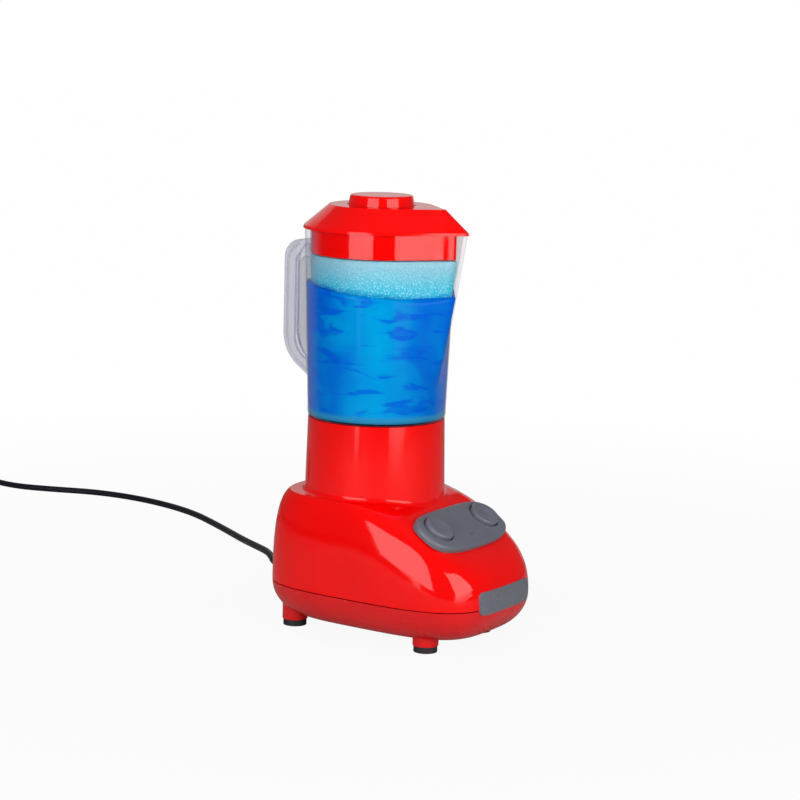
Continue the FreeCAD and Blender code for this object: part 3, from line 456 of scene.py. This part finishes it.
# Cord as one smooth line from the strain relief to the plug
def cord():
    points = CORD_POINTS + coil_points()
    data = bpy.data.curves.new("cord", "CURVE")
    data.dimensions = "3D"
    data.bevel_depth = CORD_D / 2 * MM
    data.bevel_resolution = 4
    data.use_fill_caps = True
    line = data.splines.new("NURBS")
    line.points.add(len(points) - 1)
    for point, spot in zip(line.points, points):
        point.co = (*at(*spot), 1)
    line.order_u = 3
    line.use_endpoint_u = True
    line.resolution_u = 6
    piece = linked_object("cord", data)
    data.materials.append(MATERIALS["cord_black"])
    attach(piece, "base")
    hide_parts("cord_tube", "cord_coil")


# Outline of the jug's inside at one height, with its pouring lip, moved inwards by inset
def jug_section(z, inset):
    t = (z - JUG_SEAT_Z) / (JUG_TOP_Z - JUG_SEAT_Z)
    radius = JUG_FOOT_RADIUS + (JUG_TOP_RADIUS - JUG_FOOT_RADIUS) * t - JUG_WALL - inset
    share = share_between(z, LIP_START_Z, JUG_TOP_Z) ** LIP_POWER
    tip = radius + (LIP_REACH - JUG_TOP_RADIUS) * share
    lip_angle = math.acos(radius / tip)
    points = []
    for k in range(SECTION_POINTS):
        a = 2 * math.pi * k / SECTION_POINTS
        off = abs((a + math.pi / 2 + math.pi) % (2 * math.pi) - math.pi)
        r = radius / math.cos(max(0.0, lip_angle - off))
        points.append((r * math.cos(a), r * math.sin(a)))
    return points


# Closed smooth piece through rings of points, which rides with the jug
def lofted(name, rings, mat):
    mesh = bmesh.new()
    rows = [[mesh.verts.new(at(*p)) for p in ring] for ring in rings]
    for low, high in zip(rows, rows[1:]):
        for k in range(len(low)):
            n = (k + 1) % len(low)
            mesh.faces.new((low[k], low[n], high[n], high[k]))
    mesh.faces.new(list(reversed(rows[0])))
    mesh.faces.new(rows[-1])
    data = bpy.data.meshes.new(name)
    mesh.to_mesh(data)
    mesh.free()
    for face in data.polygons:
        face.use_smooth = True
    piece = linked_object(name, data)
    data.materials.append(mat)
    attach(piece, "jug")


# Edge of the swirling liquid on the wall, by the angle right of the photographer
def liquid_level(x, y):
    turn = math.degrees(math.atan2(y, x)) - CAMERA_AZIMUTH + 90
    turn = (turn + 180) % 360 - 180
    for (low, low_z), (high, high_z) in zip(LIQUID_EDGE, LIQUID_EDGE[1:]):
        if low <= turn <= high:
            share = share_between(turn, low, high)
            share = share * share * (3 - 2 * share)
            return low_z + (high_z - low_z) * share


def contents():
    rings = []
    for k in range(LIQUID_STEPS + 1):
        share = k / LIQUID_STEPS
        z = LIQUID_LOW_Z + (LIQUID_Z - LIQUID_LOW_Z) * share
        outline = jug_section(z, LIQUID_INSET)
        rings.append([(x, y, z + (liquid_level(x, y) - LIQUID_Z) * share) for x, y in outline])
    lofted("liquid", rings, liquid_material())
    rings = []
    for up, inset in FOAM_FOOT:
        rings.append([(x, y, liquid_level(x, y) + up) for x, y in jug_section(LIQUID_Z + up, inset)])
    for z, inset in FOAM_HEAD:
        rings.append([(x, y, z) for x, y in jug_section(z, inset)])
    lofted("foam", rings, foam_material())


# One where the camera sees a surface by itself or through clear plastic, else none
def seen_share(tree):
    path = tree.nodes.new("ShaderNodeLightPath")
    rays = path.outputs
    return reckoned(tree, "MAXIMUM", rays["Is Camera Ray"], rays["Is Transmission Ray"])


# Pale floor that fades to white away from the object and keeps the object's shadow
def floor_material():
    mat, tree, shader = shader_material("floor", FLOOR_GREY, 0.9, Specular_IOR_Level=0.0)
    reach = node(tree, "ShaderNodeVectorMath", operation="LENGTH")
    tree.links.new(object_place(tree), reach.inputs[0])
    fade = spread(tree, reach.outputs["Value"], *FLOOR_GLOW, *FLOOR_GLOW_REACH)
    glow = node(tree, "ShaderNodeEmission", Color=WHITE, Strength=1.0)
    mix = tree.nodes.new("ShaderNodeMixShader")
    tree.links.new(reckoned(tree, "MULTIPLY", seen_share(tree), fade), mix.inputs["Fac"])
    tree.links.new(shader.outputs[0], mix.inputs[1])
    tree.links.new(glow.outputs[0], mix.inputs[2])
    tree.links.new(mix.outputs[0], tree.nodes["Material Output"].inputs["Surface"])
    return mat


def stage():
    mesh = bmesh.new()
    bmesh.ops.create_grid(mesh, x_segments=1, y_segments=1, size=FLOOR_SIZE)
    data = bpy.data.meshes.new("floor")
    mesh.to_mesh(data)
    mesh.free()
    floor = linked_object("floor", data)
    data.materials.append(floor_material())
    world = bpy.data.worlds.new("studio")
    bpy.context.scene.world = world
    world.use_nodes = True
    tree = world.node_tree
    strength = spread(tree, seen_share(tree), WORLD_LIGHT, 1.0, 0.0, 1.0)
    tree.links.new(strength, tree.nodes["Background"].inputs["Strength"])
    tree.nodes["Background"].inputs["Color"].default_value = WHITE


# Soft box that stands upright and faces the jug's axis
def soft_box(name, turn, distance, width, low, high, power, colour):
    data = bpy.data.lights.new(name, "AREA")
    data.shape = "RECTANGLE"
    data.size = width
    data.size_y = high - low
    data.energy = power
    data.color = colour
    lamp = linked_object(name, data)
    a = math.radians(CAMERA_AZIMUTH + turn)
    away = Vector((math.sin(a) * distance, -math.cos(a) * distance, 0))
    lamp.location = away + Vector((0, AXIS_Y, (low + high) / 2))
    lamp.rotation_euler = (-away).to_track_quat("-Z", "Z").to_euler()
    lamp.visible_camera = False
    return lamp


# The top box faces down and leaves no reflection in the gloss
def lights():
    top = soft_box(*TOP_BOX)
    top.rotation_euler = (0, 0, 0)
    top.visible_glossy = False
    for values in SIDE_BOXES:
        soft_box(*values)


bpy.context.scene.view_settings.view_transform = "Standard"
camera()
dress_nodes()
cord()
contents()
stage()
lights()
